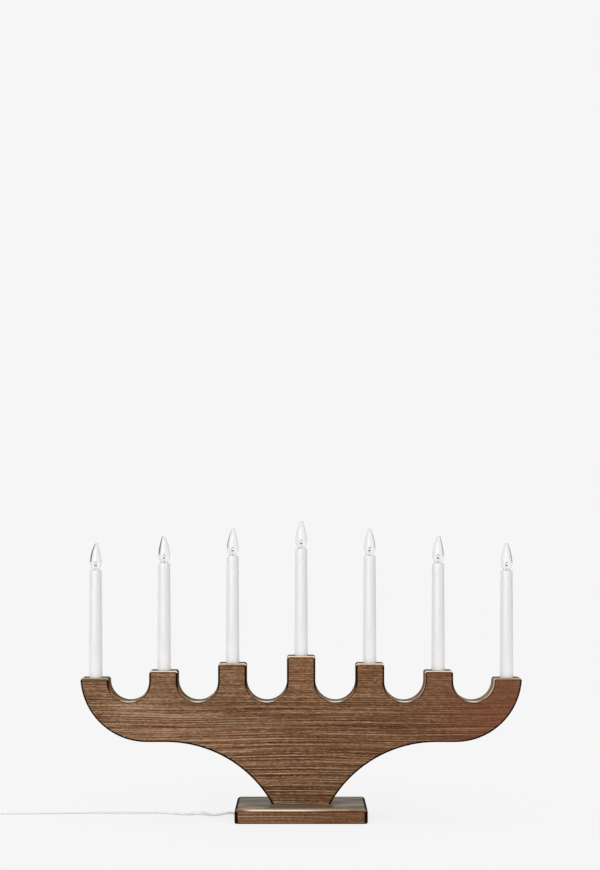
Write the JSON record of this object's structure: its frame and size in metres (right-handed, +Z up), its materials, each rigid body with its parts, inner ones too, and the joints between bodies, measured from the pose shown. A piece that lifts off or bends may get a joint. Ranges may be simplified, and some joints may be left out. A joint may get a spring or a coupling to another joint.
{
  "type": "electric candle arch",
  "caption": "Electric candlestick: a brown-stained wooden board with round notches between square posts, white candle sleeves with screw-in flame bulbs, a plank foot and a mains cord.",
  "frame": {"origin": "centre of the base plank's underside, on the table", "axes": "+X along the row of candles to the viewer's right, +Y away from the viewer, +Z up"},
  "size_m": [0.7662, 0.1357, 0.3547],
  "materials": {
    "stained_pine": "brown stain under satin lacquer, grain along the length",
    "cover_strip": "brown stained strip",
    "candle_plastic": "satin white moulded plastic",
    "holder_plastic": "white moulded plastic",
    "clear_glass": "clear blown glass",
    "bulb_cap_metal": "nickelled brass screw cap",
    "contact_solder": "solder button",
    "filament_wire": "drawn wire on a glass bead",
    "brass_shell": "pressed brass",
    "brass_spring": "sprung brass leaf",
    "steel_screws": "zinc plated",
    "wire_pvc": "insulated single wires",
    "cord_pvc": "flat white twin flex",
    "bush_plastic": "brown plastic",
    "plug_pvc": "moulded white plastic",
    "plated_pins": "nickel plated brass",
    "tie_plastic": "soft white strap"
  },
  "bodies": {
    "stand": {"arch_board": "stained_pine", "base_plate": "stained_pine", "crossbar_cover": "cover_strip", "stem_cover": "cover_strip", "link_wires": "wire_pvc", "inner_cord": "cord_pvc", "cord_bush": "bush_plastic", "cord_clip": "bush_plastic", "power_cord": "cord_pvc", "cord_coil": "cord_pvc", "cord_tie": "tie_plastic", "plug_body": "plug_pvc", "plug_pins": "plated_pins", "thread_shells": "brass_shell", "spring_contacts": "brass_spring", "base_screws": "steel_screws", "cover_screws": "steel_screws", "candle_sleeve_1": "candle_plastic", "lamp_holder_1": "holder_plastic", "candle_sleeve_2": "candle_plastic", "lamp_holder_2": "holder_plastic", "candle_sleeve_3": "candle_plastic", "lamp_holder_3": "holder_plastic", "candle_sleeve_4": "candle_plastic", "lamp_holder_4": "holder_plastic", "candle_sleeve_5": "candle_plastic", "lamp_holder_5": "holder_plastic", "candle_sleeve_6": "candle_plastic", "lamp_holder_6": "holder_plastic", "candle_sleeve_7": "candle_plastic", "lamp_holder_7": "holder_plastic"},
    "bulb_1_contact": {"bulb_contact_1": "contact_solder"},
    "bulb_1": {"bulb_glass_1": "clear_glass", "bulb_cap_1": "bulb_cap_metal", "filament_1": "filament_wire"},
    "bulb_2_contact": {"bulb_contact_2": "contact_solder"},
    "bulb_2": {"bulb_glass_2": "clear_glass", "bulb_cap_2": "bulb_cap_metal", "filament_2": "filament_wire"},
    "bulb_3_contact": {"bulb_contact_3": "contact_solder"},
    "bulb_3": {"bulb_glass_3": "clear_glass", "bulb_cap_3": "bulb_cap_metal", "filament_3": "filament_wire"},
    "bulb_4_contact": {"bulb_contact_4": "contact_solder"},
    "bulb_4": {"bulb_glass_4": "clear_glass", "bulb_cap_4": "bulb_cap_metal", "filament_4": "filament_wire"},
    "bulb_5_contact": {"bulb_contact_5": "contact_solder"},
    "bulb_5": {"bulb_glass_5": "clear_glass", "bulb_cap_5": "bulb_cap_metal", "filament_5": "filament_wire"},
    "bulb_6_contact": {"bulb_contact_6": "contact_solder"},
    "bulb_6": {"bulb_glass_6": "clear_glass", "bulb_cap_6": "bulb_cap_metal", "filament_6": "filament_wire"},
    "bulb_7_contact": {"bulb_contact_7": "contact_solder"},
    "bulb_7": {"bulb_glass_7": "clear_glass", "bulb_cap_7": "bulb_cap_metal", "filament_7": "filament_wire"}
  },
  "joints": [
    {"name": "bulb_1_lift", "type": "slide", "parent": "stand", "child": "bulb_1_contact", "axis": [0, 0, 1], "range_m": [0, 0.00728]},
    {"name": "bulb_1_turn", "type": "hinge", "parent": "bulb_1_contact", "child": "bulb_1", "pos_m": [-0.2472, 0, 0.29715], "axis": [0, 0, 1], "range_deg": [0, 1440]},
    {"name": "bulb_2_lift", "type": "slide", "parent": "stand", "child": "bulb_2_contact", "axis": [0, 0, 1], "range_m": [0, 0.00728]},
    {"name": "bulb_2_turn", "type": "hinge", "parent": "bulb_2_contact", "child": "bulb_2", "pos_m": [-0.1648, 0, 0.30595], "axis": [0, 0, 1], "range_deg": [0, 1440]},
    {"name": "bulb_3_lift", "type": "slide", "parent": "stand", "child": "bulb_3_contact", "axis": [0, 0, 1], "range_m": [0, 0.00728]},
    {"name": "bulb_3_turn", "type": "hinge", "parent": "bulb_3_contact", "child": "bulb_3", "pos_m": [-0.0824, 0, 0.31475], "axis": [0, 0, 1], "range_deg": [0, 1440]},
    {"name": "bulb_4_lift", "type": "slide", "parent": "stand", "child": "bulb_4_contact", "axis": [0, 0, 1], "range_m": [0, 0.00728]},
    {"name": "bulb_4_turn", "type": "hinge", "parent": "bulb_4_contact", "child": "bulb_4", "pos_m": [0, 0, 0.32355], "axis": [0, 0, 1], "range_deg": [0, 1440]},
    {"name": "bulb_5_lift", "type": "slide", "parent": "stand", "child": "bulb_5_contact", "axis": [0, 0, 1], "range_m": [0, 0.00728]},
    {"name": "bulb_5_turn", "type": "hinge", "parent": "bulb_5_contact", "child": "bulb_5", "pos_m": [0.0824, 0, 0.31475], "axis": [0, 0, 1], "range_deg": [0, 1440]},
    {"name": "bulb_6_lift", "type": "slide", "parent": "stand", "child": "bulb_6_contact", "axis": [0, 0, 1], "range_m": [0, 0.00728]},
    {"name": "bulb_6_turn", "type": "hinge", "parent": "bulb_6_contact", "child": "bulb_6", "pos_m": [0.1648, 0, 0.30595], "axis": [0, 0, 1], "range_deg": [0, 1440]},
    {"name": "bulb_7_lift", "type": "slide", "parent": "stand", "child": "bulb_7_contact", "axis": [0, 0, 1], "range_m": [0, 0.00728]},
    {"name": "bulb_7_turn", "type": "hinge", "parent": "bulb_7_contact", "child": "bulb_7", "pos_m": [0.2472, 0, 0.29715], "axis": [0, 0, 1], "range_deg": [0, 1440]}
  ],
  "couplings": [
    {"joint": "bulb_1_lift", "follows": "bulb_1_turn", "m_per_rad": 0.00028875},
    {"joint": "bulb_2_lift", "follows": "bulb_2_turn", "m_per_rad": 0.00028875},
    {"joint": "bulb_3_lift", "follows": "bulb_3_turn", "m_per_rad": 0.00028875},
    {"joint": "bulb_4_lift", "follows": "bulb_4_turn", "m_per_rad": 0.00028875},
    {"joint": "bulb_5_lift", "follows": "bulb_5_turn", "m_per_rad": 0.00028875},
    {"joint": "bulb_6_lift", "follows": "bulb_6_turn", "m_per_rad": 0.00028875},
    {"joint": "bulb_7_lift", "follows": "bulb_7_turn", "m_per_rad": 0.00028875}
  ]
}
